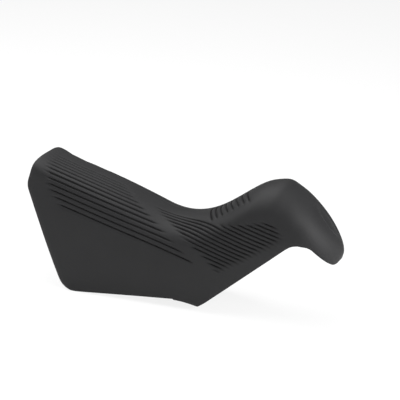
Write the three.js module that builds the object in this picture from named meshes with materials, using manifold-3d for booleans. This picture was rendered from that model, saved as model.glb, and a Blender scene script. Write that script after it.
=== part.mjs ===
// A bicycle brake lever hood, the right-hand one of a pair: one hollow sleeve of moulded rubber.
// It is shaped in the frame of its grip: x runs forward from the open rear end, y inboard, z up.
// Then it is tipped nose-down until it rests on its two rear corners and its heel.
import * as THREE from "three";
import Module from "manifold-3d";

// Driving dimensions, in millimetres
const gripLength = 128.2;
const wall = 1.9;

// Crown: the top line, by its height above the grip line at the rear end, saddle, horn and nose
const rearHeight = 32.4;
const rearPull = 11;
const rearPullHeight = 30.6;
const saddlePlace = 52.3;
const saddleHeight = 29.4;
const saddleSlope = -0.08;
const saddleBackPull = 31;
const saddleAheadPull = 23.2;
const hornRearPlace = 91.9;
const hornRearHeight = 57.3;
const hornRearSlope = 0.6;
const hornRearBackPull = 10.2;
const hornRearAheadPull = 6;
const hornFrontPlace = 102.7;
const hornFrontHeight = 58.9;
const hornFrontSlope = -0.26;
const hornFrontBackPull = 4.5;
const hornFrontAheadPull = 9.2;
const noseHeight = 41;
const nosePullHeight = 44.9;

// Edge of each side, by its corners and their fillet radii, from the rear lip to the nose
const lipHeight = 20.4;
const lipRadius = 8;
const cornerPlace = 27.9;
const cornerHeight = -17.6;
const cornerRadius = 7;
const strapFrontPlace = 86.2;
const strapFrontHeight = 4.2;
const strapRadius = 0.8;
const notchRearPlace = 110.6;
const notchRearHeight = 41.2;
const notchRearRadius = 8;
const notchFrontPlace = 116.8;
const notchFrontHeight = 42.6;
const notchFrontRadius = 5;
const tipPlace = 127.6;
const tipHeight = 36.5;
const tipRadius = 1.5;
const bowFootHeight = 38;

// Strap that closes the chin between the two sides, and its heel
const strapRearPlace = 72.5;
const heelDrop = 6.7;
const heelSlope = 1.55;
const strapSquareness = 2.6;

// Widths over both sides, and how the sides curve between the shoulders and their lower edges
const rearWidth = 37.6;
const palmPlace = 35;
const palmWidth = 35.6;
const waistPlace = 62;
const waistWidth = 33;
const hornPlace = 98;
const hornWidth = 31;
const edgeTaper = 0.94;
const sideBulge = 0.7;

// Bow: where the sides begin to close on each other, and how far the nose leans inboard
const bowPlace = 104;
const bowRoundness = 2.2;
const noseLean = 1.5;
const leanPlace = 85;

// Shoulders: how deep the rounding from the crown to each side is, and how square
const outboardRearDepth = 8.5;
const inboardRearDepth = 17;
const waistDepth = 12;
const hornDepth = 15;
const noseDepth = 8.5;
const outboardRearSquareness = 3.8;
const inboardRearSquareness = 1.9;
const frontSquareness = 2.3;

// Rear rim, which turns inwards
const rimWidth = 4;
const rimTurn = 0.5;

// Grip lines pressed into the outboard side. Each lies at one level: its height above the grip line,
// measured along the surface from the datum.
const datumHeight = 12;
const lineDepth = 0.6;
const lineWidth = 0.9;
const lineRunOut = 3;
const palmLineLevel = 18.2;
const palmLinePitch = 2.25;
const palmLineCount = 12;
const neckLineLevel = 19.4;
const neckLinePitch = 1.65;
const neckLineCount = 17;

// Ribs cut across the crown where the thumb web lies
const ribPlace = 72.5;
const ribPitch = 1.65;
const ribCount = 8;
const ribReach = 11;
const ribSweep = 4.2;
const ribDepth = 0.5;
const ribWidth = 0.9;

// Pegs inside each side, which key the sleeve to the lever body
const pegDiameter = 4;
const pegHeight = 2;
const pegLevel = 8;
const rearPegPlace = 48;
const frontPegPlace = 80;

// Flats where the sleeve stands
const standTrim = 0.3;

// Where the grip lines of the palm and of the neck start and end, as [level, place] pairs
const palmStarts = [[18, 16], [20.5, 12.5], [25, 8], [30, 5.5], [36, 4]];
const palmEnds = [[18, 77], [19.2, 74.5], [22.2, 67], [25.4, 59.5], [30, 51.5], [35.5, 43.5], [43, 36]];
const neckStarts = [
  [19.4, 84.6], [22.3, 79], [24.5, 72.5], [28.7, 62.5], [32.3, 55.5],
  [36, 51.5], [37.2, 79.5], [39.8, 84.5], [43.2, 91.5], [45.8, 95.8],
];
const neckEnds = [
  [19.4, 87.6], [23.8, 91], [27.9, 95], [32.2, 98.5],
  [35.9, 101.5], [40.6, 105.2], [43.4, 106.2], [46, 103],
];

// Mesh fineness
const columnStep = 4;
const rimColumns = 3;
const noseColumns = 8;
const shoulderRows = 8;
const wallRows = 5;
const strapColumns = 10;
const curveSteps = 60;
const filletSteps = 8;
const lineStep = 4;
const cutterProud = 0.45;

const wasm = await Module();
wasm.setup();

const { clamp, lerp, smoothstep } = THREE.MathUtils;

// A smooth curve through [place, value] stations
function smoothThrough(stations) {
  const last = stations.length - 1;
  const slopes = stations.map((_, i) => {
    const before = stations[Math.max(i - 1, 0)];
    const after = stations[Math.min(i + 1, last)];
    return (after[1] - before[1]) / (after[0] - before[0]);
  });
  return (place) => {
    const within = clamp(place, stations[0][0], stations[last][0]);
    const i = Math.max(stations.findIndex(([x]) => within <= x), 1) - 1;
    const span = stations[i + 1][0] - stations[i][0];
    const t = (within - stations[i][0]) / span;
    const s = t - 1;
    return (
      (1 + 2 * t) * s * s * stations[i][1] +
      t * s * s * span * slopes[i] +
      t * t * (3 - 2 * t) * stations[i + 1][1] +
      t * t * s * span * slopes[i + 1]
    );
  };
}

// Straight lines through [place, value] pairs
function linesThrough(pairs) {
  const last = pairs.length - 1;
  return (place) => {
    if (place <= pairs[0][0]) return pairs[0][1];
    if (place >= pairs[last][0]) return pairs[last][1];
    const next = pairs.findIndex(([x]) => x >= place);
    const [x0, v0] = pairs[next - 1];
    const [x1, v1] = pairs[next];
    return lerp(v0, v1, (place - x0) / (x1 - x0));
  };
}

// A point of the crown line with the handles behind and ahead of it
function crownPoint(x, height, slope, backPull, aheadPull) {
  const beside = (pull) => new THREE.Vector2(x + pull, height + slope * pull);
  return { back: beside(-backPull), at: beside(0), ahead: beside(aheadPull) };
}

// Crown line: Bezier curves end to end
const crownMarks = [
  {
    at: new THREE.Vector2(0, rearHeight),
    ahead: new THREE.Vector2(rearPull, rearPullHeight),
  },
  crownPoint(saddlePlace, saddleHeight, saddleSlope, saddleBackPull, saddleAheadPull),
  crownPoint(hornRearPlace, hornRearHeight, hornRearSlope, hornRearBackPull, hornRearAheadPull),
  crownPoint(hornFrontPlace, hornFrontHeight, hornFrontSlope, hornFrontBackPull, hornFrontAheadPull),
  {
    back: new THREE.Vector2(gripLength, nosePullHeight),
    at: new THREE.Vector2(gripLength, noseHeight),
  },
];
const crownPoints = crownMarks.slice(1).flatMap((mark, i) => {
  const { at, ahead } = crownMarks[i];
  return new THREE.CubicBezierCurve(at, ahead, mark.back, mark.at).getPoints(curveSteps);
});
const crownHeight = linesThrough(crownPoints.map(({ x, y }) => [x, y]));

// An outline through [x, z, radius] corners, with an arc of its own radius at each
function filleted(corners) {
  return corners.map(([x, z, radius], i) => {
    const corner = new THREE.Vector2(x, z);
    if (radius === 0) return [corner];
    const [back, ahead] = [corners[i - 1], corners[i + 1]].map(
      ([otherX, otherZ]) => new THREE.Vector2(otherX, otherZ).sub(corner),
    );
    const room = Math.min(back.length(), ahead.length()) * 0.48;
    back.normalize();
    ahead.normalize();
    const halfAngle = Math.acos(clamp(back.dot(ahead), -1, 1)) / 2;
    const reach = Math.min(radius / Math.tan(halfAngle), room);
    const arc = [];
    for (let k = 0; k <= filletSteps; k++) {
      const t = k / filletSteps;
      const weights = [(1 - t) ** 2, 2 * t * (1 - t) * Math.sin(halfAngle), t ** 2];
      const total = weights[0] + weights[1] + weights[2];
      const pull = (weights[0] * reach) / total;
      const push = (weights[2] * reach) / total;
      arc.push(corner.clone().addScaledVector(back, pull).addScaledVector(ahead, push));
    }
    return arc;
  });
}

const [rearTop, lip, corner, ...lowerArcs] = filleted([
  [0, rearHeight, 0],
  [0, lipHeight, lipRadius],
  [cornerPlace, cornerHeight, cornerRadius],
  [strapFrontPlace, strapFrontHeight, strapRadius],
  [notchRearPlace, notchRearHeight, notchRearRadius],
  [notchFrontPlace, notchFrontHeight, notchFrontRadius],
  [tipPlace, tipHeight, tipRadius],
  [gripLength, bowFootHeight, 0],
]);
// The rear edge and the lower edge share the middle point of the corner's arc
const middle = filletSteps / 2;
const rearPoints = [...rearTop, ...lip, ...corner.slice(0, middle + 1)];
const lowerPoints = [...corner.slice(middle), ...lowerArcs.flat()];
const rearEdge = linesThrough(rearPoints.reverse().map(({ x, y }) => [y, x]));
const lowerEdge = linesThrough(lowerPoints.map(({ x, y }) => [x, y]));

// The straight line that the lower edge follows from the rear corner to the strap
function skirtHeight(x) {
  const slope = (strapFrontHeight - cornerHeight) / (strapFrontPlace - cornerPlace);
  return x < strapRearPlace ? cornerHeight + slope * (x - cornerPlace) : lowerEdge(x);
}

// Half width of the sleeve, which closes like a boat's bow at the nose
const sideWidth = smoothThrough([
  [0, rearWidth / 2],
  [palmPlace, palmWidth / 2],
  [waistPlace, waistWidth / 2],
  [hornPlace, hornWidth / 2],
  [gripLength, hornWidth / 2],
]);

function halfWidth(x) {
  const t = clamp((x - bowPlace) / (gripLength - bowPlace), 0, 1);
  return sideWidth(x) * (1 - t ** bowRoundness) ** (1 / bowRoundness);
}

function sideOf(facing, rearDepth, rearSquareness) {
  return {
    facing,
    depth: smoothThrough([
      [0, rearDepth],
      [palmPlace, (rearDepth + waistDepth) / 2],
      [waistPlace, waistDepth],
      [hornPlace, hornDepth],
      [gripLength, noseDepth],
    ]),
    squareness: smoothThrough([
      [0, rearSquareness],
      [waistPlace, frontSquareness],
      [gripLength, frontSquareness],
    ]),
  };
}

const outboard = sideOf(-1, outboardRearDepth, outboardRearSquareness);
const inboard = sideOf(1, inboardRearDepth, inboardRearSquareness);

// A point of the outer surface: a superellipse over the shoulder, then a slightly bulged side
function surfacePoint(x, z, side) {
  const down = Math.max(crownHeight(x) - z, 0);
  const depth = side.depth(x);
  const power = side.squareness(x);
  const half = halfWidth(x);
  const sideHeight = Math.max(crownHeight(x) - skirtHeight(x) - depth, 1);
  const share = clamp((down - depth) / sideHeight, 0, 1);
  const bulge = sideBulge * clamp(sideHeight / 30, 0, 1) * Math.sin(Math.PI * share);
  const shoulder = (1 - (1 - clamp(down / depth, 0, 1)) ** power) ** (1 / power);
  const out = half * (shoulder - (1 - edgeTaper) * share ** 2) + bulge;
  const lean = noseLean * smoothstep(x, leanPlace, gripLength);
  return new THREE.Vector3(x, lean + side.facing * out, z);
}

// One side of the sleeve below a place on the crown, down to the lower edge.
// With a fan above 0 it slants back towards the rear edge, and with a fan of 1 it follows that edge.
function sideOutline(place, side, fan = 0) {
  const xAt = (z) => place + fan * rearEdge(z);
  const top = crownHeight(place);
  let foot = lowerEdge(place);
  if (fan > 0) {
    let high = top;
    for (let i = 0; i < 40; i++) {
      const z = (foot + high) / 2;
      if (z > lowerEdge(xAt(z))) high = z;
      else foot = z;
    }
  }
  foot = Math.min(foot, top - 0.01);
  const depth = side.depth(place);
  const power = 2 / side.squareness(place);
  const heights = [];
  const shoulderSteps = 24;
  const wallSteps = 16;
  for (let i = 0; i <= shoulderSteps; i++) {
    const angle = ((i / shoulderSteps) * Math.PI) / 2;
    heights.push(top - depth * (1 - Math.cos(angle) ** power));
  }
  for (let i = 1; i <= wallSteps; i++) heights.push(lerp(top - depth, foot, i / wallSteps));
  const kept = heights.filter((z) => z > foot + 1e-6);
  const points = [...kept, foot].map((z) => surfacePoint(xAt(z), z, side));
  const lengths = [0];
  points.slice(1).forEach((p, i) => lengths.push(lengths[i] + p.distanceTo(points[i])));
  return { points, lengths, total: lengths[points.length - 1], shoulderFoot: top - depth };
}

// The point a given way along such an outline, counted from the crown
function pointAlong({ points, lengths, total }, along) {
  const way = clamp(along, 0, total);
  const next = Math.max(lengths.findIndex((length) => length >= way), 1);
  const span = Math.max(lengths[next] - lengths[next - 1], 1e-9);
  return points[next - 1].clone().lerp(points[next], (way - lengths[next - 1]) / span);
}

// The way from the crown down to a height, carried on past the foot where the outline ends above it
function alongForHeight({ points, lengths, total }, height) {
  const next = points.findIndex(({ z }) => z <= height);
  if (next < 0) return total + points[points.length - 1].z - height;
  const [above, below] = [points[next - 1], points[next]];
  const share = (above.z - height) / Math.max(above.z - below.z, 1e-9);
  return lerp(lengths[next - 1], lengths[next], share);
}

const alongForLevel = (outline, level) =>
  alongForHeight(outline, datumHeight) - (level - datumHeight);

// Rows down one side: even over the shoulder, then closer towards the lower edge
function rowPoints(outline) {
  const { lengths, points, total, shoulderFoot } = outline;
  const shoulderEnd = points.findIndex(({ z }) => z <= shoulderFoot + 1e-6);
  const limit = 0.6 * total;
  const split = shoulderEnd > 0 ? Math.min(lengths[shoulderEnd], limit) : limit;
  const ways = [];
  for (let i = 0; i <= shoulderRows; i++) ways.push((split * i) / shoulderRows);
  for (let i = 1; i <= wallRows; i++) {
    ways.push(lerp(split, total, Math.sin(((i / wallRows) * Math.PI) / 2)));
  }
  return ways.map((way) => pointAlong(outline, way));
}

// Columns along the crown, with one at each end of the strap and closer ones at the rim and the nose
const fanPlace = 50;

function columnPlaces() {
  const noseStart = notchFrontPlace + notchFrontRadius / 2;
  const marks = [rimWidth, fanPlace, strapRearPlace, strapFrontPlace, noseStart];
  const places = [];
  for (let k = 0; k < rimColumns; k++) places.push((rimWidth * k) / rimColumns);
  marks.slice(1).forEach((mark, i) => {
    const count = Math.max(Math.round((mark - marks[i]) / columnStep), 1);
    for (let k = 0; k < count; k++) places.push(lerp(marks[i], mark, k / count));
  });
  for (let k = 0; k <= noseColumns; k++) {
    const share = Math.sin(((k / noseColumns) * Math.PI) / 2);
    places.push(lerp(noseStart, gripLength, share));
  }
  return places;
}

// An open sheet of shared points and triangles
class Sheet {
  points = [];
  triangles = [];
  places = new Map();

  add(point) {
    const key = point.toArray().map((v) => Math.round(v * 1e4)).join();
    if (!this.places.has(key)) {
      this.places.set(key, this.points.length);
      this.points.push(point);
    }
    return this.places.get(key);
  }

  triangle(a, b, c) {
    if (a !== b && b !== c && c !== a) this.triangles.push([a, b, c]);
  }

  strip(row, nextRow) {
    for (let i = 0; i + 1 < row.length; i++) {
      this.triangle(row[i], nextRow[i], nextRow[i + 1]);
      this.triangle(row[i], nextRow[i + 1], row[i + 1]);
    }
  }

  normals() {
    const normals = this.points.map(() => new THREE.Vector3());
    for (const corners of this.triangles) {
      const face = new THREE.Triangle(...corners.map((i) => this.points[i]));
      const normal = face.getNormal(new THREE.Vector3()).multiplyScalar(face.getArea());
      for (const i of corners) normals[i].add(normal);
    }
    return normals.map((normal) => normal.normalize());
  }
}

// The strap under one column hangs from the two lower edges and is deepest at the heel
function strapRow(left, right) {
  const share = (left.x - strapRearPlace) / (strapFrontPlace - strapRearPlace);
  const half = left.distanceTo(right) / 2;
  const power = 2 / strapSquareness;
  const row = [];
  for (let i = 0; i <= strapColumns; i++) {
    const angle = (i / strapColumns) * Math.PI;
    const across = Math.sign(Math.cos(angle)) * Math.abs(Math.cos(angle)) ** power;
    const down = heelDrop * share * Math.sin(angle) ** power;
    const point = left.clone().lerp(right, 0.5);
    point.x -= (down / heelSlope) * share;
    point.y -= half * across;
    point.z -= down;
    row.push(point);
  }
  return row;
}

function outerSheet() {
  const sheet = new Sheet();
  const sections = columnPlaces().map((place) => {
    const fan = Math.max(1 - place / fanPlace, 0);
    const [left, right] = [outboard, inboard].map((side) => rowPoints(sideOutline(place, side, fan)));
    return [...left.reverse(), ...right.slice(1)];
  });
  const placed = sections.map((section) => section.map((p) => sheet.add(p)));
  placed.slice(1).forEach((section, i) => sheet.strip(placed[i], section));
  const overStrap = sections.filter(([{ x }]) => x > strapRearPlace - 0.01 && x < strapFrontPlace + 0.01);
  const strap = overStrap.map((section) =>
    strapRow(section[0], section[section.length - 1]).map((p) => sheet.add(p)),
  );
  strap.slice(1).forEach((row, i) => sheet.strip(row, strap[i]));
  sheet.normals().forEach((normal, i) => {
    const { x, z } = sheet.points[i];
    const share = clamp(1 - (x - rearEdge(z)) / rimWidth, 0, 1);
    sheet.points[i].addScaledVector(normal, -rimTurn * share ** 2);
  });
  return sheet;
}

function solidOf(points, triangles) {
  const vertProperties = new Float32Array(points.flatMap((p) => p.toArray()));
  const triVerts = new Uint32Array(triangles.flat());
  return new wasm.Manifold(new wasm.Mesh({ numProp: 3, vertProperties, triVerts }));
}

function solidFromGeometry(geometry) {
  const { attributes, index } = geometry;
  const sheet = new Sheet();
  const corners = Array.from(index.array, (i) =>
    sheet.add(new THREE.Vector3().fromBufferAttribute(attributes.position, i)),
  );
  for (let i = 0; i < corners.length; i += 3) sheet.triangle(...corners.slice(i, i + 3));
  return solidOf(sheet.points, sheet.triangles);
}

// The sheet thickened inwards, with a rim along its open edges
function thickened(sheet) {
  const count = sheet.points.length;
  const normals = sheet.normals();
  const inner = sheet.points.map((p, i) => p.clone().addScaledVector(normals[i], -wall));
  const triangles = [...sheet.triangles];
  const edges = new Set();
  for (const [a, b, c] of sheet.triangles) {
    triangles.push([a + count, c + count, b + count]);
    for (const pair of [[a, b], [b, c], [c, a]]) edges.add(pair.join());
  }
  for (const pair of edges) {
    const [a, b] = pair.split(",").map(Number);
    if (edges.has([b, a].join())) continue;
    triangles.push([b, a, a + count], [b, a + count, b + count]);
  }
  return solidOf([...sheet.points, ...inner], triangles);
}

// A place on one side, some way from the crown, with its directions out, up and forward
function surfaceFrame(x, along, side) {
  const nudge = 0.5;
  const outline = sideOutline(x, side);
  const up = pointAlong(outline, along - nudge).sub(pointAlong(outline, along + nudge)).normalize();
  const ahead = pointAlong(sideOutline(x + nudge, side), along);
  const forward = ahead.sub(pointAlong(sideOutline(x - nudge, side), along)).normalize();
  const out = new THREE.Vector3().crossVectors(up, forward).multiplyScalar(side.facing).normalize();
  return { point: pointAlong(outline, along), out, up, forward };
}

// A V-shaped cutter that follows a row of surface frames and runs out at both ends
function vCutter(frames, across, width, depth) {
  const lengths = [0];
  frames.slice(1).forEach(({ point }, i) => {
    lengths.push(lengths[i] + point.distanceTo(frames[i].point));
  });
  const total = lengths[lengths.length - 1];
  const half = (width / 2) * (1 + cutterProud / depth);
  const points = frames.flatMap((frame, i) => {
    const fromEnd = Math.min(lengths[i], total - lengths[i]);
    const sunk = depth * clamp(fromEnd / lineRunOut, 0.08, 1);
    const lifted = frame.point.clone().addScaledVector(frame.out, cutterProud);
    return [
      lifted.clone().addScaledVector(frame[across], half),
      lifted.clone().addScaledVector(frame[across], -half),
      frame.point.clone().addScaledVector(frame.out, -sunk),
    ];
  });
  const last = points.length - 3;
  const triangles = [[0, 2, 1], [last, last + 1, last + 2]];
  for (let i = 0; i < last; i += 3) {
    for (const [p, q] of [[0, 1], [1, 2], [2, 0]]) {
      triangles.push([i + p, i + q, i + q + 3], [i + p, i + q + 3, i + p + 3]);
    }
  }
  const solid = solidOf(points, triangles);
  if (solid.volume() > 0) return solid;
  return solidOf(points, triangles.map(([a, b, c]) => [a, c, b]));
}

// A grip line at one level of the outboard side
function gripLine(level, start, end) {
  const count = Math.max(Math.ceil((end - start) / lineStep), 3);
  const frames = [];
  for (let i = 0; i <= count; i++) {
    const x = lerp(start, end, i / count);
    frames.push(surfaceFrame(x, alongForLevel(sideOutline(x, outboard), level), outboard));
  }
  return vCutter(frames, "up", lineWidth, lineDepth);
}

function gripLines(firstLevel, pitch, count, starts, ends) {
  const startAt = linesThrough(starts);
  const endAt = linesThrough(ends);
  const levels = Array.from({ length: count }, (_, i) => firstLevel + i * pitch);
  return levels.map((level) => gripLine(level, startAt(level), endAt(level)));
}

// A rib groove over the crown, which sweeps forward as it goes down both sides
function ribGroove(x) {
  const count = 5;
  const frames = [];
  for (let i = -count; i <= count; i++) {
    const share = Math.abs(i) / count;
    const side = i < 0 ? outboard : inboard;
    frames.push(surfaceFrame(x + ribSweep * share ** 1.5, ribReach * share, side));
  }
  return vCutter(frames, "forward", ribWidth, ribDepth);
}

function peg(x, side) {
  const { point, out } = surfaceFrame(x, alongForLevel(sideOutline(x, side), pegLevel), side);
  const length = pegHeight + wall / 2;
  const shape = new THREE.CylinderGeometry(pegDiameter / 2, pegDiameter / 2, length, 16);
  shape.applyQuaternion(new THREE.Quaternion().setFromUnitVectors(new THREE.Vector3(0, 1, 0), out));
  const centre = point.addScaledVector(out, -(wall + length) / 2);
  shape.translate(centre.x, centre.y, centre.z);
  return solidFromGeometry(shape);
}

// The tilt that brings the rear corners and the heel to one level, and the height of that level
function restingPose(points) {
  const lowest = (tilt, chosen) =>
    Math.min(...chosen.map((p) => p.z * Math.cos(tilt) - p.x * Math.sin(tilt)));
  const rear = points.filter((p) => p.x < strapRearPlace);
  const front = points.filter((p) => p.x >= strapRearPlace);
  let [tilt, steepest] = [0, Math.PI / 4];
  for (let i = 0; i < 40; i++) {
    const between = (tilt + steepest) / 2;
    if (lowest(between, front) > lowest(between, rear)) tilt = between;
    else steepest = between;
  }
  return { tilt, floor: lowest(tilt, points) };
}

// All that lies below a floor, in the sleeve's own frame
function slabBelow(height, tilt) {
  const size = 4 * gripLength;
  const slab = new THREE.BoxGeometry(size, size, size);
  slab.translate(0, 0, height - size / 2);
  slab.rotateY(-tilt);
  return solidFromGeometry(slab);
}

function geometryOf(solid) {
  const { vertProperties, triVerts } = solid.getMesh();
  const geometry = new THREE.BufferGeometry();
  geometry.setAttribute("position", new THREE.BufferAttribute(vertProperties, 3));
  geometry.setIndex(new THREE.BufferAttribute(triVerts, 1));
  geometry.computeVertexNormals();
  return geometry;
}

const outer = outerSheet();
const { tilt, floor } = restingPose(outer.points);
const ribPlaces = Array.from({ length: ribCount }, (_, i) => ribPlace + i * ribPitch);
const cuts = [
  ...gripLines(palmLineLevel, palmLinePitch, palmLineCount, palmStarts, palmEnds),
  ...gripLines(neckLineLevel, neckLinePitch, neckLineCount, neckStarts, neckEnds),
  ...ribPlaces.map(ribGroove),
  slabBelow(floor + standTrim, tilt),
];
const pegs = [outboard, inboard].flatMap((side) => [peg(rearPegPlace, side), peg(frontPegPlace, side)]);
let sleeve = thickened(outer);
for (const added of pegs) sleeve = sleeve.add(added);
for (const cut of cuts) sleeve = sleeve.subtract(cut);

const rubber = new THREE.MeshStandardMaterial({ color: 0x2c2c2d, roughness: 0.72, metalness: 0 });
const hood = new THREE.Mesh(geometryOf(sleeve), rubber);
hood.name = "brake_lever_hood";
hood.rotation.y = tilt;

// The origin is under the middle of the sleeve, on the surface where it stands
const box = new THREE.Box3().setFromObject(hood, true);
const centre = box.getCenter(new THREE.Vector3());
hood.position.set(-centre.x, -centre.y, -box.min.z);

const part = new THREE.Group();
part.add(hood);

export default part;
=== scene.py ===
import math

import bpy
import numpy as np
from mathutils import Matrix, Vector
from mathutils.kdtree import KDTree


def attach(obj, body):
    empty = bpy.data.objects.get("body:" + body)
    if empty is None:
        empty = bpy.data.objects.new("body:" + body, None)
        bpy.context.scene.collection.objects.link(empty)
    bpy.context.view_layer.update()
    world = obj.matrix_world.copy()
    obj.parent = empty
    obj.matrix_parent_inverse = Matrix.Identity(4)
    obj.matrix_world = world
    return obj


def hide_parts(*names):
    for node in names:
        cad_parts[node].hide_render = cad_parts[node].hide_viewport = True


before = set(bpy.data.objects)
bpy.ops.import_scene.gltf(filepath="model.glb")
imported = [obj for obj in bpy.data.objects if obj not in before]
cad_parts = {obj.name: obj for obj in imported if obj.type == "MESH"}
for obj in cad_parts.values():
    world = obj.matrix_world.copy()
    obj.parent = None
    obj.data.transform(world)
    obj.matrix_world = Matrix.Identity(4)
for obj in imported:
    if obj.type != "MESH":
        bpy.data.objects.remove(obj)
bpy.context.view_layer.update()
print("frame loaded")

mm = 0.001

# The camera stands as the photographer's did: lengths in mm, angles in degrees
cameraSetup = {
    "lens": 134.13,
    "azimuth": 20.0,
    "elevation": 17.0,
    "distance": 600.0,
    "turnBack": -3.338,  # the sleeve lies this much flatter here than the camera was aimed for
    "aim": (74.99, 0.0, 14.45),
}

# How the sleeve lies: nose down about Y, then moved; in degrees and mm
restPose = {"tilt": 15.1619, "move": (-70.0974, 0.0487, 23.4750)}


def aimCamera(setup):
    az, el = math.radians(setup["azimuth"]), math.radians(setup["elevation"])
    back = Vector((math.sin(az) * math.cos(el), -math.cos(az) * math.cos(el), math.sin(el)))
    right = Vector((math.cos(az), math.sin(az), 0))
    up = back.cross(right)
    turn = Matrix.Rotation(math.radians(setup["turnBack"]), 3, "Y")
    place = turn @ (Vector(setup["aim"]) + back * setup["distance"]) + Vector(restPose["move"])
    axes = Matrix((turn @ right, turn @ up, turn @ back)).transposed()
    data = bpy.data.cameras.new("camera")
    data.lens = setup["lens"]
    data.sensor_width = 36
    camera = bpy.data.objects.new("camera", data)
    bpy.context.scene.collection.objects.link(camera)
    camera.matrix_world = Matrix.Translation(place * mm) @ axes.to_4x4()
    bpy.context.scene.camera = camera


aimCamera(cameraSetup)
print("camera placed")

# The sleeve's form, in mm, in the frame of its grip: x forward, y inboard, z up
sleeve = {
    "length": 128.2,
    "wall": 1.9,
    "crown": [
        [(0, 32.4), (11, 30.6), (21.3, 31.88), (52.3, 29.4)],
        [(52.3, 29.4), (75.5, 27.544), (81.7, 51.18), (91.9, 57.3)],
        [(91.9, 57.3), (97.9, 60.9), (98.2, 60.07), (102.7, 58.9)],
        [(102.7, 58.9), (111.9, 56.508), (128.2, 44.9), (128.2, 41)],
    ],
    # corners of the side's edge with their radii, from the rear lip to the nose
    "edge": [
        (0, 32.4, 0), (0, 20.4, 8), (27.9, -17.6, 7), (86.2, 4.2, 0.8),
        (110.6, 41.2, 8), (116.8, 42.6, 5), (127.6, 36.5, 1.5), (128.2, 38, 0),
    ],
    "filletRoom": 0.48,  # an arc takes at most this share of the shorter side
    "halfWidth": [(0, 18.8), (35, 17.8), (62, 16.5), (98, 15.5), (128.2, 15.5)],
    "edgeTaper": 0.94,
    "sideBulge": 0.7,
    "fullBulgeHeight": 30,
    "bowPlace": 104,
    "bowRoundness": 2.2,
    "noseLean": 1.5,
    "leanPlace": 85,
    "outboardDepth": [(0, 8.5), (35, 10.25), (62, 12), (98, 15), (128.2, 8.5)],
    "inboardDepth": [(0, 17), (35, 14.5), (62, 12), (98, 15), (128.2, 8.5)],
    "outboardSquareness": [(0, 3.8), (62, 2.3), (128.2, 2.3)],
    "inboardSquareness": [(0, 1.9), (62, 2.3), (128.2, 2.3)],
    "rimWidth": 4,
    "rimTurn": 0.5,
    "fanPlace": 50,
}
strap = {
    "rear": 72.5,
    "front": 86.2,
    "drop": 6.7,
    "slope": 1.55,
    "squareness": 2.6,
    "cuts": 27,
    "slack": 0.01,  # edges this near its ends still count
    "below": 10,  # its own edges all lie lower than this
}

# grip lines on the outboard side, by level: the height above the grip line along the surface
gripLines = {
    "datum": 12,
    "depth": 0.6,
    "halfWidth": 0.55,
    "runOut": 4.0,
    "startDepth": 0.25,  # how deep a line already is at its first point
    "top": 47.6,  # no line lies above this level
    "palm": {"first": 18.35, "pitch": 2.2, "count": 12},
    "neck": {"first": 19.45, "pitch": 1.65, "count": 17},
    "palmStart": [(18, 16), (20.5, 12.5), (25, 8), (30, 5.5), (36, 4)],
    "palmEnd": [(18, 77), (19.2, 74.5), (22.2, 67), (25.4, 59.5),
                (30, 51.5), (35.5, 43.5), (43, 36)],
    "neckStart": [(19.4, 84.6), (22.3, 79), (24.5, 72.5), (28.7, 62.5), (32.3, 55.5),
                  (36, 51.5), (37.2, 79.5), (39.8, 84.5), (43.2, 91.5), (45.8, 95.8)],
    "neckEnd": [(19.4, 87.6), (23.8, 91), (27.9, 95), (32.2, 98.5),
                (35.9, 101.5), (40.6, 105.2), (43.4, 106.2), (46, 103)],
}
ribs = {
    "first": 72.5,
    "pitch": 1.65,
    "count": 8,
    "reach": 12.5,
    "sweep": 4.2,
    "sweepPower": 1.5,
    "sweepFade": 20,  # the sweep dies out over this way below the reach
    "window": (62, 95, 9.5),  # columns sweep between these places, with this run-in
    "depth": 0.75,
    "halfWidth": 0.42,
    "overrun": 0.7,
    "fade": 3,
    "columns": (-0.3, -0.15, 0, 0.15, 0.3, 0.56, 0.825, 1.09),  # mesh columns about one rib
    "spare": 3,  # columns past the middle of the last rib, which are left out
    "lead": 0.6,  # space between the first rib's columns and the even ones behind it
}
# shallow hollows: the dish on the front of the nose and the leaf on the inboard side of the crown
hollows = {
    "depth": 0.7,
    "dish": {"place": 118, "halfLength": 8, "way": 2.5, "halfWidth": 6, "edge": 2.6},
    "leaf": {
        "edge": 1, "start": 1, "fade": 8, "end": 60, "way": 9, "halfWidth": 4.6,
        "power": 0.6, "endWay": 0.4, "share": 0.85,  # shares of the rear way and of the depth
    },
}
pegs = {"diameter": 4, "height": 2, "level": 8, "places": [48, 80], "edge": 0.35, "sides": 48}

# fineness of the sheet: rows run along the sleeve, columns round it
mesh = {
    "rim": [0, 0.07, 0.28, 0.59, 0.95],
    "lowRows": 24,
    "lineStep": 0.275,
    "firstLevel": 17.8,
    "lineRows": 108,
    "farRows": 56,
    "bowLevel": 40,  # in the bow all line rows below this level run together
    "column": 1.2,
    "frontColumn": 1.0,
    "stationStep": 0.5,
    "bowColumns": 34,
    "sideSteps": 240,
    "crownBias": 1.15,  # above 1, a side's points lie closer near the crown
    "fullRim": 30,  # rims narrow where a column is shorter than this
    "bowBlend": (107, 9),  # from this place and over this run the rows spread evenly
    "tableSteps": 400,
    "shoulderSteps": 80,  # points over the shoulder of one section
    "flankSteps": 40,  # and down its side
    "leastHeight": 0.01,
    "lowRoom": 2,  # least height of the low rows and of the line rows
    "lineRoom": 1,
    "sweepRounds": 8,
    "mergeSheet": 0.004,
    "mergeWall": 0.03,
    "rimSample": 0.05,
    "sharpAngle": 50,  # degrees
    # the levels between which the line rows lie, by place; rows above and below are spread evenly
    "footLevels": [(0, 17.8), (86, 17.8), (91, 22.4), (95, 26.6),
                   (98.5, 30.8), (101.5, 34.4), (107, 40)],
    "headLevels": [(0, 43.8), (34, 43.8), (54, 37.4), (78, 37.8),
                   (84.5, 40.6), (91.5, 44), (96, 46.9), (107, 46.9)],
}


def smoothstep(t):
    t = np.clip(t, 0, 1)
    return t * t * (3 - 2 * t)


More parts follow.
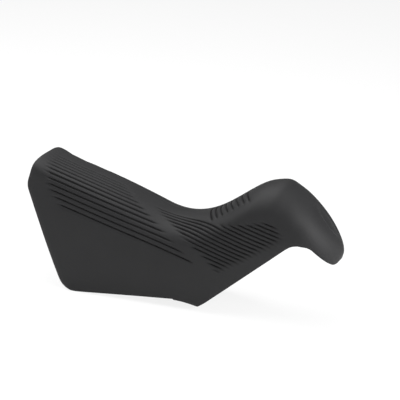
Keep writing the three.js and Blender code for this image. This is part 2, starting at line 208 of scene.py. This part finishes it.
def smoothThrough(stations):
    xs, vs = np.array(stations, float).T
    before = np.concatenate([[0], np.arange(len(xs) - 1)])
    after = np.concatenate([np.arange(1, len(xs)), [len(xs) - 1]])
    slopes = (vs[after] - vs[before]) / (xs[after] - xs[before])

    def at(x):
        x = np.clip(x, xs[0], xs[-1])
        i = np.clip(np.searchsorted(xs, x) - 1, 0, len(xs) - 2)
        span = xs[i + 1] - xs[i]
        t = (x - xs[i]) / span
        s = t - 1
        return ((1 + 2 * t) * s * s * vs[i] + t * s * s * span * slopes[i]
                + t * t * (3 - 2 * t) * vs[i + 1] + t * t * s * span * slopes[i + 1])

    return at


def bezier(points, steps=120):
    t = np.linspace(0, 1, steps + 1)[:, None]
    a, b, c, d = (np.array(p, float) for p in points)
    return (1 - t) ** 3 * a + 3 * (1 - t) ** 2 * t * b + 3 * (1 - t) * t ** 2 * c + t ** 3 * d


def filleted(corners, steps=16):
    arcs = []
    for i, (x, z, radius) in enumerate(corners):
        corner = np.array((x, z), float)
        if radius == 0:
            arcs.append([corner])
            continue
        back = np.array(corners[i - 1][:2], float) - corner
        ahead = np.array(corners[i + 1][:2], float) - corner
        room = sleeve["filletRoom"] * min(np.linalg.norm(back), np.linalg.norm(ahead))
        back /= np.linalg.norm(back)
        ahead /= np.linalg.norm(ahead)
        halfAngle = math.acos(np.clip(back @ ahead, -1, 1)) / 2
        reach = min(radius / math.tan(halfAngle), room)
        arc = []
        for t in np.linspace(0, 1, steps + 1):
            weights = np.array([(1 - t) ** 2, 2 * t * (1 - t) * math.sin(halfAngle), t ** 2])
            weights /= weights.sum()
            arc.append(corner + reach * (weights[0] * back + weights[2] * ahead))
        arcs.append(arc)
    return arcs


crownLine = np.concatenate([bezier(curve) for curve in sleeve["crown"]])
edgeArcs = filleted(sleeve["edge"])
middle = len(edgeArcs[2]) // 2
rearLine = np.array([*edgeArcs[0], *edgeArcs[1], *edgeArcs[2][:middle + 1]])[::-1]
lowLine = np.array([*edgeArcs[2][middle:], *[p for arc in edgeArcs[3:] for p in arc]])
widthAt = smoothThrough(sleeve["halfWidth"])


def crownHeight(x):
    return np.interp(x, crownLine[:, 0], crownLine[:, 1])


def lowerEdge(x):
    return np.interp(x, lowLine[:, 0], lowLine[:, 1])


def rearEdge(z):
    return np.interp(z, rearLine[:, 1], rearLine[:, 0])


def skirtHeight(x):
    (x0, z0, _), (x1, z1, _) = sleeve["edge"][2:4]
    return z0 + (z1 - z0) / (x1 - x0) * (x - x0) if x < strap["rear"] else lowerEdge(x)


class Side:
    # One side of the sleeve, by upright sections: where it is at each share of the way down
    def __init__(self, facing, depth, squareness, stations):
        self.facing = facing
        self.depth = smoothThrough(sleeve[depth])
        self.squareness = smoothThrough(sleeve[squareness])
        self.stations = stations
        self.shares = np.linspace(0, 1, mesh["tableSteps"] + 1)
        self.totals, self.datums, self.ys, self.zs = [], [], [], []
        for x in stations:
            self.addSection(x)
        self.ys, self.zs = np.array(self.ys), np.array(self.zs)

    def across(self, x, z):
        down = np.maximum(crownHeight(x) - z, 0)
        depth, power = self.depth(x), self.squareness(x)
        t = np.clip((x - sleeve["bowPlace"]) / (sleeve["length"] - sleeve["bowPlace"]), 0, 1)
        half = widthAt(x) * (1 - t ** sleeve["bowRoundness"]) ** (1 / sleeve["bowRoundness"])
        sideHeight = max(crownHeight(x) - skirtHeight(x) - depth, 1)
        share = np.clip((down - depth) / sideHeight, 0, 1)
        fullness = min(sideHeight / sleeve["fullBulgeHeight"], 1)
        bulge = sleeve["sideBulge"] * fullness * np.sin(np.pi * share)
        shoulder = (1 - (1 - np.clip(down / depth, 0, 1)) ** power) ** (1 / power)
        out = half * (shoulder - (1 - sleeve["edgeTaper"]) * share ** 2) + bulge
        lean = smoothstep((x - sleeve["leanPlace"]) / (sleeve["length"] - sleeve["leanPlace"]))
        return sleeve["noseLean"] * lean + self.facing * out

    def addSection(self, x):
        top, depth = crownHeight(x), self.depth(x)
        foot = min(lowerEdge(x), top - mesh["leastHeight"])
        angles = np.linspace(0, np.pi / 2, mesh["shoulderSteps"] + 1)
        shoulder = top - depth * (1 - np.cos(angles) ** (2 / self.squareness(x)))
        flank = np.linspace(top - depth, foot, mesh["flankSteps"] + 1)
        heights = np.concatenate([shoulder, flank[1:]])
        heights = np.append(heights[heights > foot + 1e-6], foot)
        ys = self.across(x, heights)
        ways = np.concatenate([[0], np.cumsum(np.hypot(np.diff(ys), np.diff(heights)))])
        self.totals.append(ways[-1])
        datum = gripLines["datum"]
        beyond = max(heights[-1] - datum, 0)
        self.datums.append(np.interp(-datum, -heights, ways) + beyond)
        self.ys.append(np.interp(self.shares * ways[-1], ways, ys))
        self.zs.append(np.interp(self.shares * ways[-1], ways, heights))

    def at(self, x, share):
        x = np.clip(x, self.stations[0], self.stations[-1])
        i = np.clip(np.searchsorted(self.stations, x) - 1, 0, len(self.stations) - 2)
        u = (x - self.stations[i]) / (self.stations[i + 1] - self.stations[i])
        steps = mesh["tableSteps"]
        k = np.clip((share * steps).astype(int), 0, steps - 1)
        v = share * steps - k
        found = []
        for table in (self.ys, self.zs):
            near = table[i, k] * (1 - v) + table[i, k + 1] * v
            far = table[i + 1, k] * (1 - v) + table[i + 1, k + 1] * v
            found.append(near * (1 - u) + far * u)
        return found

    def total(self, x):
        return np.interp(x, self.stations, self.totals)

    def level(self, x, share):
        datumWay = np.interp(x, self.stations, self.datums)
        return gripLines["datum"] + datumWay - share * self.total(x)


def columnPlaces():
    rearRim = mesh["rim"]
    rib = ribs["pitch"] * np.arange(ribs["count"])[:, None] + ribs["first"]
    ribColumns = (rib + np.array(ribs["columns"])).ravel()
    frontRim = [strap["front"] - d for d in mesh["rim"]]
    bow, nose = sleeve["bowPlace"], sleeve["length"]

    def between(a, b, step):
        return np.linspace(a, b, max(int(round((b - a) / step)), 1) + 1)

    places = np.concatenate([
        rearRim,
        between(rearRim[-1], ribColumns[0] - ribs["lead"], mesh["column"])[1:],
        ribColumns[:-ribs["spare"]],
        frontRim[::-1],
        between(strap["front"], bow, mesh["frontColumn"])[1:],
        bow + (nose - bow) * np.sin(np.linspace(0, np.pi / 2, mesh["bowColumns"]))[1:],
    ])
    return np.unique(np.round(places, 4))


def sweepAt(way):
    out = ribs["sweep"] * np.clip(way / ribs["reach"], 0, 1) ** ribs["sweepPower"]
    return out * (1 - smoothstep((way - ribs["reach"]) / ribs["sweepFade"]))


places = columnPlaces()
evenStations = np.arange(0, sleeve["bowPlace"], mesh["stationStep"])
stations = np.unique(np.round(np.concatenate([places, evenStations]), 4))
outboard = Side(-1, "outboardDepth", "outboardSquareness", stations)
inboard = Side(1, "inboardDepth", "inboardSquareness", stations)


def columnOf(place):
    # Points down both sides of one column, the way to each from the crown and its level
    fan = max(1 - place / sleeve["fanPlace"], 0)
    opening, closing, run = ribs["window"]
    window = float(smoothstep((place - opening) / run) * smoothstep((closing - place) / run))
    shares = np.linspace(0, 1, mesh["sideSteps"] + 1) ** mesh["crownBias"]
    halves = []
    for side in (outboard, inboard):
        x = np.full_like(shares, place)
        for _ in range(mesh["sweepRounds"]):
            y, z = side.at(x, shares)
            x = place + fan * rearEdge(z) + window * sweepAt(shares * side.total(x))
        y, z = side.at(x, shares)
        points = np.stack([x, y, z], 1)
        ways = np.concatenate([[0], np.cumsum(np.linalg.norm(np.diff(points, axis=0), axis=1))])
        halves.append((points, ways, side.level(x, shares)))
    return halves


def shapedRows():
    rim = mesh["rim"]
    low, lines, far = mesh["lowRows"], mesh["lineRows"], mesh["farRows"]
    count = len(rim) + low + lines + far + len(rim)
    firstLine = len(rim) + low
    rows = np.arange(count)
    nominal = mesh["firstLevel"] + (rows - firstLine) * mesh["lineStep"]
    merged = int((mesh["bowLevel"] - mesh["firstLevel"]) / mesh["lineStep"])
    bowRows = rows - np.clip(rows - firstLine, 0, merged)
    blendStart, blendRun = mesh["bowBlend"]
    footAt, headAt = np.array(mesh["footLevels"]).T, np.array(mesh["headLevels"]).T
    points = np.zeros((count, len(places), 3))
    levels = np.zeros((count, len(places)))
    ways = np.zeros((count, len(places)))
    for i, place in enumerate(places):
        (outPoints, outWays, outLevels), (inPoints, inWays, _) = columnOf(place)
        crownLevel = outLevels[0]
        signed = np.concatenate([-outWays[::-1], inWays[1:]])
        curve = np.concatenate([outPoints[::-1], inPoints[1:]])
        levelsAlong = np.concatenate([outLevels[::-1], crownLevel + inWays[1:]])
        start, end = signed[0], signed[-1]
        shrink = min(1, (end - start) / mesh["fullRim"])
        edge = np.array(rim) * shrink
        foot = max(np.interp(place, *footAt), levelsAlong[0] + mesh["lowRoom"])
        head = max(np.interp(place, *headAt), foot + mesh["lineRoom"])
        headRow = firstLine + (head - mesh["firstLevel"]) / mesh["lineStep"]
        footWay = np.interp(foot, levelsAlong, signed)
        headWay = np.interp(head, levelsAlong, signed)
        aligned = np.interp(nominal, levelsAlong, signed)
        below = np.interp(rows, [len(rim) - 1, firstLine], [start + edge[-1], footWay])
        above = np.interp(rows, [headRow, count - len(rim)], [headWay, end - edge[-1]])
        aligned = np.where(nominal < foot, below, np.where(rows > headRow, above, aligned))
        inner = [len(rim) - 1, bowRows[count - len(rim)]]
        even = np.interp(bowRows, inner, [start + edge[-1], end - edge[-1]])
        way = aligned + (even - aligned) * smoothstep((place - blendStart) / blendRun)
        way[:len(rim)] = start + edge
        way[-len(rim):] = end - edge[::-1]
        for axis in range(3):
            points[:, i, axis] = np.interp(way, signed, curve[:, axis])
        levels[:, i] = np.interp(way, signed, levelsAlong)
        ways[:, i] = way
    return points, levels, ways


def deselectAll():
    if bpy.context.object and bpy.context.object.mode != "OBJECT":
        bpy.ops.object.mode_set(mode="OBJECT")
    bpy.ops.object.select_all(action="DESELECT")


def applyModifier(piece, kind, name, **settings):
    modifier = piece.modifiers.new(name, kind)
    for key, value in settings.items():
        setattr(modifier, key, value)
    bpy.ops.object.modifier_apply(modifier=modifier.name)


def weigh(piece, name, weights):
    group = piece.vertex_groups.new(name=name)
    for index in np.nonzero(weights > 1e-4)[0]:
        group.add([int(index)], float(weights[index]), "REPLACE")


def coordinates(piece):
    co = np.zeros(len(piece.data.vertices) * 3)
    piece.data.vertices.foreach_get("co", co)
    return co.reshape(-1, 3)


def placeAt(piece, points):
    piece.data.vertices.foreach_set("co", np.asarray(points, float).ravel())
    piece.data.update()


def vertexNormals(piece):
    normals = np.zeros(len(piece.data.vertices) * 3)
    piece.data.vertex_normals.foreach_get("vector", normals)
    return normals.reshape(-1, 3)


def profile(offset, half):
    return np.cos(np.clip(np.abs(offset) / half, 0, 1) * np.pi / 2) ** 2


def lineWeights(x, levels, field, starts, ends):
    spec = gripLines[field]
    startAt, endAt = np.array(gripLines[starts]).T, np.array(gripLines[ends]).T
    nearest = np.clip(np.round((levels - spec["first"]) / spec["pitch"]), 0, spec["count"] - 1)
    level = spec["first"] + nearest * spec["pitch"]
    run = gripLines["runOut"]
    fade = smoothstep((x - np.interp(level, *startAt)) / run + gripLines["startDepth"])
    fade = fade * smoothstep((np.interp(level, *endAt) - x) / run + gripLines["startDepth"])
    return profile(levels - level, gripLines["halfWidth"]) * fade


def ribWeights(columns, ways):
    nearest = np.clip(np.round((columns - ribs["first"]) / ribs["pitch"]), 0, ribs["count"] - 1)
    offset = columns - ribs["first"] - nearest * ribs["pitch"]
    left = ribs["reach"] + ribs["overrun"] - np.abs(ways)
    return profile(offset, ribs["halfWidth"]) * smoothstep(left / ribs["fade"])


def hollowWeights(columns, ways):
    dish, leaf = hollows["dish"], hollows["leaf"]
    across = (ways - dish["way"]) / dish["halfWidth"]
    along = (columns - dish["place"]) / dish["halfLength"]
    inDish = smoothstep((1 - np.hypot(across, along)) * dish["halfWidth"] / dish["edge"])
    narrowing = np.clip(1 - columns / leaf["end"], 0, 1) ** leaf["power"]
    half = leaf["halfWidth"] * narrowing
    middle = leaf["way"] * (leaf["endWay"] + (1 - leaf["endWay"]) * narrowing)
    inLeaf = smoothstep((half - np.abs(ways - middle)) / leaf["edge"])
    opening = smoothstep((columns - leaf["start"]) / leaf["fade"])
    return np.maximum(inDish, leaf["share"] * inLeaf * opening)


def makeSheet():
    points, levels, ways = shapedRows()
    rowCount, columnCount = levels.shape
    deselectAll()
    bpy.ops.mesh.primitive_grid_add(
        x_subdivisions=columnCount - 1, y_subdivisions=rowCount - 1, size=1)
    piece = bpy.context.object
    piece.name = piece.data.name = "hood_sleeve"
    flat = coordinates(piece)
    column = np.round((flat[:, 0] + 0.5) * (columnCount - 1)).astype(int)
    row = np.round((flat[:, 1] + 0.5) * (rowCount - 1)).astype(int)
    placeAt(piece, points[row, column] * mm)
    x, level, way = points[row, column, 0], levels[row, column], ways[row, column]
    palm = lineWeights(x, level, "palm", "palmStart", "palmEnd")
    neck = lineWeights(x, level, "neck", "neckStart", "neckEnd")
    weigh(piece, "lines", np.where(level > gripLines["top"], 0, np.maximum(palm, neck)))
    weigh(piece, "ribs", ribWeights(places[column], way))
    weigh(piece, "hollows", hollowWeights(places[column], way))
    return piece


def selectEdges(piece, wanted):
    bpy.ops.object.mode_set(mode="EDIT")
    bpy.ops.mesh.select_mode(type="EDGE")
    bpy.ops.mesh.select_all(action="DESELECT")
    bpy.ops.object.mode_set(mode="OBJECT")
    for edge in piece.data.edges:
        edge.select = wanted(edge)
    bpy.ops.object.mode_set(mode="EDIT")


def boundaryEdges(piece):
    uses = np.zeros(len(piece.data.edges), int)
    edgeOf = np.zeros(len(piece.data.loops), int)
    piece.data.loops.foreach_get("edge_index", edgeOf)
    np.add.at(uses, edgeOf, 1)
    return uses == 1


def closeStrap(piece):
    # The strap bridges the two lower edges and then sags to its heel
    open_ = boundaryEdges(piece)
    before = len(piece.data.vertices)
    vertices = piece.data.vertices
    rear = (strap["rear"] - strap["slack"]) * mm
    front = (strap["front"] + strap["slack"]) * mm

    def onStrap(edge):
        ends = [vertices[i].co for i in edge.vertices]
        inside = all(rear < p.x < front and p.z < strap["below"] * mm for p in ends)
        return bool(open_[edge.index]) and inside

    selectEdges(piece, onStrap)
    bpy.ops.mesh.bridge_edge_loops(number_cuts=strap["cuts"], interpolation="LINEAR")
    bpy.ops.object.mode_set(mode="OBJECT")
    co = coordinates(piece) / mm
    new = co[before:]
    share = np.clip((new[:, 0] - strap["rear"]) / (strap["front"] - strap["rear"]), 0, 1)
    lows = {}
    for side in (outboard, inboard):
        y, z = side.at(new[:, 0], np.ones(len(new)))
        lows[side.facing] = y
    across = (new[:, 1] - lows[-1]) / (lows[1] - lows[-1])
    angle = np.clip(across, 0, 1) * np.pi
    power = 2 / strap["squareness"]
    cosine = np.sign(np.cos(angle)) * np.abs(np.cos(angle)) ** power
    down = strap["drop"] * share * np.sin(angle) ** power
    new[:, 1] = (lows[-1] + lows[1]) / 2 - (lows[1] - lows[-1]) / 2 * cosine
    new[:, 0] -= down / strap["slope"] * share
    new[:, 2] = lowerEdge(new[:, 0] + down / strap["slope"] * share) - down
    co[before:] = new
    placeAt(piece, co * mm)


def turnRim(piece):
    co, normals = coordinates(piece), vertexNormals(piece)
    ahead = co[:, 0] / mm - rearEdge(co[:, 2] / mm)
    share = np.clip(1 - ahead / sleeve["rimWidth"], 0, 1)
    placeAt(piece, co - normals * (sleeve["rimTurn"] * mm * share ** 2)[:, None])


def roundedWall(piece):
    # How far both skins of the wall close on its middle: 1 at an open edge, in a half circle
    open_ = boundaryEdges(piece)
    co = coordinates(piece)
    samples = []
    for edge in piece.data.edges:
        if open_[edge.index]:
            a, b = (co[i] for i in edge.vertices)
            steps = max(int(np.linalg.norm(b - a) / (mesh["rimSample"] * mm)), 1)
            samples += [a + (b - a) * k / steps for k in range(steps + 1)]
    tree = KDTree(len(samples))
    for i, sample in enumerate(samples):
        tree.insert(sample, i)
    tree.balance()
    half = sleeve["wall"] / 2 * mm
    distances = np.array([tree.find(p)[2] for p in co])
    near = 1 - np.clip(distances / half, 0, 1)
    return 1 - np.sqrt(1 - near ** 2)


def thicken(piece):
    wall = sleeve["wall"] * mm
    weigh(piece, "rim", roundedWall(piece))
    piece.vertex_groups.new(name="inside")
    applyModifier(piece, "SOLIDIFY", "wall", thickness=wall, offset=-1, use_rim=False,
                  shell_vertex_group="inside")
    applyModifier(piece, "DISPLACE", "rim", strength=-wall / 2, mid_level=0, vertex_group="rim")
    inside = piece.vertex_groups["inside"].index
    carved = [piece.vertex_groups[name].index for name in ("lines", "ribs", "hollows")]
    for vertex in piece.data.vertices:
        held = {g.group for g in vertex.groups}
        if inside in held:
            for index in carved:
                if index in held:
                    piece.vertex_groups[index].remove([vertex.index])


def carve(piece):
    applyModifier(piece, "DISPLACE", "gripLines", strength=-gripLines["depth"] * mm,
                  mid_level=0, vertex_group="lines")
    applyModifier(piece, "DISPLACE", "thumbRibs", strength=-ribs["depth"] * mm,
                  mid_level=0, vertex_group="ribs")
    applyModifier(piece, "DISPLACE", "hollows", strength=-hollows["depth"] * mm,
                  mid_level=0, vertex_group="hollows")


def addPegs(piece):
    # Pegs stand half a wall deep in the inside of each side
    length = pegs["height"] + sleeve["wall"] / 2
    made = []
    for side in (outboard, inboard):
        for place in pegs["places"]:
            y, z = side.at(np.full_like(side.shares, place), side.shares)
            spot = np.argmin(np.abs(side.level(place, side.shares) - pegs["level"]))
            inward = y[spot] - side.facing * (sleeve["wall"] + length) / 2
            deselectAll()
            bpy.ops.mesh.primitive_cylinder_add(
                vertices=pegs["sides"], radius=pegs["diameter"] / 2 * mm, depth=length * mm,
                location=(place * mm, inward * mm, z[spot] * mm), rotation=(math.radians(90), 0, 0))
            applyModifier(bpy.context.object, "BEVEL", "edge", width=pegs["edge"] * mm, segments=3)
            made.append(bpy.context.object)
    deselectAll()
    for peg in made:
        peg.select_set(True)
    piece.select_set(True)
    bpy.context.view_layer.objects.active = piece
    bpy.ops.object.join()


def markAttribute(piece, name, groups):
    values = np.zeros(len(piece.data.vertices), np.float32)
    indices = {piece.vertex_groups[g].index for g in groups}
    for vertex in piece.data.vertices:
        for g in vertex.groups:
            if g.group in indices:
                values[vertex.index] = max(values[vertex.index], g.weight)
    piece.data.attributes.new(name, "FLOAT", "POINT").data.foreach_set("value", values)


def layDown(piece):
    piece.rotation_euler = (0, math.radians(restPose["tilt"]), 0)
    piece.location = Vector(restPose["move"]) * mm
    deselectAll()
    piece.select_set(True)
    bpy.ops.object.transform_apply(location=True, rotation=True, scale=True)
    co = coordinates(piece)
    co[:, 2] = np.maximum(co[:, 2], 0)  # flats where it stands
    placeAt(piece, co)


def makeSleeve():
    piece = makeSheet()
    closeStrap(piece)
    bpy.ops.object.mode_set(mode="EDIT")
    bpy.ops.mesh.select_all(action="SELECT")
    bpy.ops.mesh.remove_doubles(threshold=mesh["mergeSheet"] * mm)
    bpy.ops.mesh.normals_make_consistent(inside=False)
    bpy.ops.object.mode_set(mode="OBJECT")
    turnRim(piece)
    thicken(piece)
    carve(piece)
    bpy.ops.object.mode_set(mode="EDIT")
    bpy.ops.mesh.select_all(action="SELECT")
    bpy.ops.mesh.remove_doubles(threshold=mesh["mergeWall"] * mm)
    bpy.ops.mesh.normals_make_consistent(inside=False)
    bpy.ops.object.mode_set(mode="OBJECT")
    addPegs(piece)
    layDown(piece)
    markAttribute(piece, "groove", ("lines", "ribs"))
    bpy.ops.object.shade_smooth_by_angle(angle=math.radians(mesh["sharpAngle"]))
    return piece


hood = makeSleeve()
print("sleeve made,", len(hood.data.vertices), "vertices")


class Flow:
    # A socket that can be used in sums
    def __init__(self, shader, socket):
        self.shader, self.socket = shader, socket

    def math(self, operation, other, swapped=False):
        values = [other, self] if swapped else [self, other]
        return self.shader.node("ShaderNodeMath", {"operation": operation}, dict(enumerate(values)))

    def __add__(self, other):
        return self.math("ADD", other)

    def __radd__(self, other):
        return self.math("ADD", other, True)

    def __sub__(self, other):
        return self.math("SUBTRACT", other)

    def __rsub__(self, other):
        return self.math("SUBTRACT", other, True)

    def __mul__(self, other):
        return self.math("MULTIPLY", other)

    def __rmul__(self, other):
        return self.math("MULTIPLY", other, True)


class Shader:
    def __init__(self, name):
        self.material = bpy.data.materials.new(name)
        self.material.use_nodes = True
        self.tree = self.material.node_tree
        self.tree.nodes.clear()

    def node(self, kind, settings=None, inputs=None, output=0):
        node = self.tree.nodes.new(kind)
        for key, value in (settings or {}).items():
            setattr(node, key, value)
        for key, value in (inputs or {}).items():
            if isinstance(value, Flow):
                self.tree.links.new(value.socket, node.inputs[key])
            else:
                node.inputs[key].default_value = value
        return Flow(self, node.outputs[output]) if len(node.outputs) else None


rubber = {
    "color": (0.010, 0.010, 0.0106, 1),
    "worn": (0.018, 0.018, 0.0188, 1),
    # painted shade: the near-black groove colour stands in for the shade that falls inside the grip
    # lines and ribs
    "groove": (0.003, 0.003, 0.003, 1),
    "roughness": 0.62,
    "shine": 0.24,
    "grainSize": 0.35,  # mm
    "grainHeight": 0.012,  # mm
    "cloudScale": 55.0,
    "wearFrom": 0.35,
    "wearGain": 1.6,
    "wearShare": 0.6,
    "grooveShadeShare": 0.8,
    "cloudRoughness": 0.14,
    "grainRoughness": 0.1,
    "grooveRoughness": 0.3,
}


def rubberMaterial():
    shader = Shader("rubber")
    spot = shader.node("ShaderNodeTexCoord", output="Object")
    grain = shader.node("ShaderNodeTexNoise", {}, {
        "Vector": spot, "Scale": 1 / (rubber["grainSize"] * mm), "Detail": 2.0, "Roughness": 0.6})
    cloud = shader.node("ShaderNodeTexNoise", {}, {
        "Vector": spot, "Scale": rubber["cloudScale"], "Detail": 3.0, "Roughness": 0.55})
    groove = shader.node("ShaderNodeAttribute", {"attribute_name": "groove"}, output="Fac")
    wear = shader.node("ShaderNodeMath", {"operation": "MULTIPLY", "use_clamp": True},
                       {0: (cloud - rubber["wearFrom"]) * rubber["wearGain"], 1: 1 - groove})
    color = shader.node("ShaderNodeMix", {"data_type": "RGBA"}, {
        0: wear * rubber["wearShare"], 6: rubber["color"], 7: rubber["worn"]}, output=2)
    # painted shade: the grooves are darkened towards the groove colour by the groove mask, in place
    # of the shade that falls in them
    shaded = shader.node("ShaderNodeMix", {"data_type": "RGBA"}, {
        0: groove * rubber["grooveShadeShare"], 6: color, 7: rubber["groove"]}, output=2)
    uneven = (cloud - 0.5) * rubber["cloudRoughness"]
    fine = (grain - 0.5) * rubber["grainRoughness"]
    roughness = rubber["roughness"] + uneven + fine + groove * rubber["grooveRoughness"]
    bump = shader.node("ShaderNodeBump", {}, {
        "Strength": 1.0, "Distance": rubber["grainHeight"] * mm, "Height": grain})
    surface = shader.node("ShaderNodeBsdfPrincipled", {}, {
        "Base Color": shaded, "Specular IOR Level": rubber["shine"],
        "Roughness": roughness, "Normal": bump})
    shader.node("ShaderNodeOutputMaterial", {}, {"Surface": surface})
    return shader.material


hood.data.materials.clear()
hood.data.materials.append(rubberMaterial())
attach(hood, "root")
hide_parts("brake_lever_hood")
print("rubber finished")

# Lengths in the studio are in metres
studio = {
    "floor": (0.86, 0.86, 0.86, 1),
    "floorSize": 6,
    "floorRoughness": 0.9,
    "floorGlow": 0.85,  # how much of the floor is plain white to the camera
    "lampAim": (0, 0, 0.03),
    "ambient": 0.17,
    "lamps": [
        # name, place, size, watts
        ("top", (-0.17, 0.0, 0.52), (0.7, 0.5), 5.0),
        ("left", (-0.62, -0.18, 0.25), (0.35, 0.45), 1.6),
        ("right", (0.62, -0.12, 0.3), (0.3, 0.4), 6.5),
    ],
}


def addLamp(name, place, size, watts):
    data = bpy.data.lights.new(name, "AREA")
    data.shape = "RECTANGLE"
    data.size, data.size_y = size
    data.energy = watts
    lamp = bpy.data.objects.new(name, data)
    bpy.context.scene.collection.objects.link(lamp)
    lamp.location = place
    away = Vector(place) - Vector(studio["lampAim"])
    lamp.rotation_euler = away.to_track_quat("Z", "Y").to_euler()


def makeFloor():
    deselectAll()
    bpy.ops.mesh.primitive_plane_add(size=studio["floorSize"], location=(0, 0, 0))
    floor = bpy.context.object
    floor.name = "floor"
    shader = Shader("paper")
    path = shader.node("ShaderNodeLightPath", output="Is Camera Ray")
    paper = shader.node("ShaderNodeBsdfPrincipled", {}, {
        "Base Color": studio["floor"], "Roughness": studio["floorRoughness"]})
    glow = shader.node("ShaderNodeEmission", {}, {"Color": (1, 1, 1, 1), "Strength": 1.0})
    mixed = shader.node("ShaderNodeMixShader", {}, {
        0: path * studio["floorGlow"], 1: paper, 2: glow})
    shader.node("ShaderNodeOutputMaterial", {}, {"Surface": mixed})
    floor.data.materials.append(shader.material)


def makeWorld():
    world = bpy.data.worlds.new("studio")
    bpy.context.scene.world = world
    world.use_nodes = True
    tree = world.node_tree
    tree.nodes.clear()
    path = tree.nodes.new("ShaderNodeLightPath")
    dim = tree.nodes.new("ShaderNodeBackground")
    dim.inputs["Color"].default_value = (1, 1, 1, 1)
    dim.inputs["Strength"].default_value = studio["ambient"]
    white = tree.nodes.new("ShaderNodeBackground")
    white.inputs["Color"].default_value = (1, 1, 1, 1)
    mix = tree.nodes.new("ShaderNodeMixShader")
    out = tree.nodes.new("ShaderNodeOutputWorld")
    tree.links.new(path.outputs["Is Camera Ray"], mix.inputs[0])
    tree.links.new(dim.outputs[0], mix.inputs[1])
    tree.links.new(white.outputs[0], mix.inputs[2])
    tree.links.new(mix.outputs[0], out.inputs[0])


makeFloor()
makeWorld()
for lamp in studio["lamps"]:
    addLamp(*lamp)
bpy.context.scene.view_settings.view_transform = "Standard"
print("studio lit")
